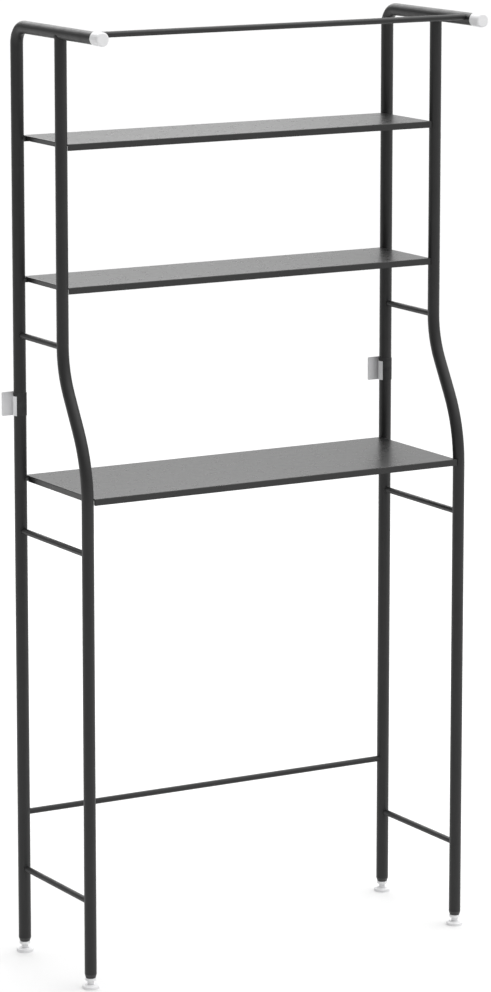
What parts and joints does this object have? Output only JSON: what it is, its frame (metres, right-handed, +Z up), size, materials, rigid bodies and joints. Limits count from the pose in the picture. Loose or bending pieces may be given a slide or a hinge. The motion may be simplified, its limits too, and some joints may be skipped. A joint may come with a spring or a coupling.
{
  "type": "over the toilet storage rack",
  "caption": "Tall black tube-frame rack that straddles a toilet: sheet-metal shelves, front arms with a towel rail, levelling feet and wall brackets.",
  "frame": {"origin": "bottom centre of the whole rack's box, on the floor", "axes": "+Z up, +Y towards the wall, +X to the right for a user facing the rack"},
  "size_m": [0.7168, 0.2974, 1.4983],
  "materials": {
    "black_tube": "satin powder coat",
    "black_shelf": "fine matt powder coat",
    "white_cap": "satin moulded",
    "white_foot": "satin moulded",
    "black_plastic": "fine grain",
    "black_rubber": "matt",
    "grey_plate": "light grey paint",
    "foam_tape": "foam",
    "zinc_steel": "zinc plated"
  },
  "bodies": {
    "frame": {"back_rail": "black_tube", "back_rail_anchor_nuts": "zinc_steel", "back_rail_inserts": "zinc_steel", "back_rail_studs": "zinc_steel", "bottom_shelf": "black_shelf", "bottom_shelf_nuts": "zinc_steel", "bottom_shelf_studs": "zinc_steel", "bottom_shelf_tabs": "black_tube", "foot_nuts": "zinc_steel", "left_arm_cap": "white_cap", "left_front_foot_insert": "black_plastic", "left_front_upright": "black_tube", "left_lower_rung": "black_tube", "left_middle_rung": "black_tube", "left_rear_foot_insert": "black_plastic", "left_rear_upright": "black_tube", "left_upper_rung": "black_tube", "middle_shelf": "black_shelf", "middle_shelf_nuts": "zinc_steel", "middle_shelf_studs": "zinc_steel", "middle_shelf_tabs": "black_tube", "right_arm_cap": "white_cap", "right_front_foot_insert": "black_plastic", "right_front_upright": "black_tube", "right_lower_rung": "black_tube", "right_middle_rung": "black_tube", "right_rear_foot_insert": "black_plastic", "right_rear_upright": "black_tube", "right_upper_rung": "black_tube", "top_rail": "black_tube", "top_rail_anchor_nuts": "zinc_steel", "top_rail_inserts": "zinc_steel", "top_rail_studs": "zinc_steel", "top_shelf": "black_shelf", "top_shelf_nuts": "zinc_steel", "top_shelf_studs": "zinc_steel", "top_shelf_tabs": "black_tube"},
    "left_liner": {"left_bracket_liner": "black_rubber"},
    "left_front_foot_screw": {"left_front_foot_collar": "white_foot", "left_front_foot_stud": "zinc_steel"},
    "left_front_foot": {"left_front_foot_pad": "white_foot"},
    "left_rear_foot_screw": {"left_rear_foot_collar": "white_foot", "left_rear_foot_stud": "zinc_steel"},
    "left_rear_foot": {"left_rear_foot_pad": "white_foot"},
    "left_wall_bracket": {"left_wall_plate": "grey_plate", "left_wall_tape": "foam_tape"},
    "right_liner": {"right_bracket_liner": "black_rubber"},
    "right_front_foot_screw": {"right_front_foot_collar": "white_foot", "right_front_foot_stud": "zinc_steel"},
    "right_front_foot": {"right_front_foot_pad": "white_foot"},
    "right_rear_foot_screw": {"right_rear_foot_collar": "white_foot", "right_rear_foot_stud": "zinc_steel"},
    "right_rear_foot": {"right_rear_foot_pad": "white_foot"},
    "right_wall_bracket": {"right_wall_plate": "grey_plate", "right_wall_tape": "foam_tape"}
  },
  "joints": [
    {"name": "left_rear_foot_height", "type": "slide", "parent": "frame", "child": "left_rear_foot", "axis": [0, 0, -1], "range_m": [0, 0.008]},
    {"name": "left_rear_foot_turn", "type": "hinge", "parent": "left_rear_foot", "child": "left_rear_foot_screw", "pos_m": [-0.33205, 0.13483, 0.02], "axis": [0, 0, -1], "range_deg": [0, 2300]},
    {"name": "left_front_foot_height", "type": "slide", "parent": "frame", "child": "left_front_foot", "axis": [0, 0, -1], "range_m": [0, 0.008]},
    {"name": "left_front_foot_turn", "type": "hinge", "parent": "left_front_foot", "child": "left_front_foot_screw", "pos_m": [-0.33205, -0.08968, 0.02], "axis": [0, 0, -1], "range_deg": [0, 2300]},
    {"name": "right_rear_foot_height", "type": "slide", "parent": "frame", "child": "right_rear_foot", "axis": [0, 0, -1], "range_m": [0, 0.008]},
    {"name": "right_rear_foot_turn", "type": "hinge", "parent": "right_rear_foot", "child": "right_rear_foot_screw", "pos_m": [0.34495, 0.13483, 0.02], "axis": [0, 0, -1], "range_deg": [0, 2300]},
    {"name": "right_front_foot_height", "type": "slide", "parent": "frame", "child": "right_front_foot", "axis": [0, 0, -1], "range_m": [0, 0.008]},
    {"name": "right_front_foot_turn", "type": "hinge", "parent": "right_front_foot", "child": "right_front_foot_screw", "pos_m": [0.34495, -0.08968, 0.02], "axis": [0, 0, -1], "range_deg": [0, 2300]},
    {"name": "left_bracket_height", "type": "slide", "parent": "frame", "child": "left_liner", "axis": [0, 0, 1], "range_m": [-0.08, 0.08]},
    {"name": "left_bracket_swivel", "type": "hinge", "parent": "left_liner", "child": "left_wall_bracket", "pos_m": [-0.33205, 0.13483, 0.8935], "axis": [0, 0, 1], "continuous": true},
    {"name": "right_bracket_height", "type": "slide", "parent": "frame", "child": "right_liner", "axis": [0, 0, 1], "range_m": [-0.08, 0.08]},
    {"name": "right_bracket_swivel", "type": "hinge", "parent": "right_liner", "child": "right_wall_bracket", "pos_m": [0.34495, 0.13483, 0.8935], "axis": [0, 0, 1], "continuous": true}
  ],
  "couplings": [
    {"joint": "left_rear_foot_height", "follows": "left_rear_foot_turn", "m_per_rad": 0.00019894},
    {"joint": "left_front_foot_height", "follows": "left_front_foot_turn", "m_per_rad": 0.00019894},
    {"joint": "right_rear_foot_height", "follows": "right_rear_foot_turn", "m_per_rad": 0.00019894},
    {"joint": "right_front_foot_height", "follows": "right_front_foot_turn", "m_per_rad": 0.00019894}
  ]
}
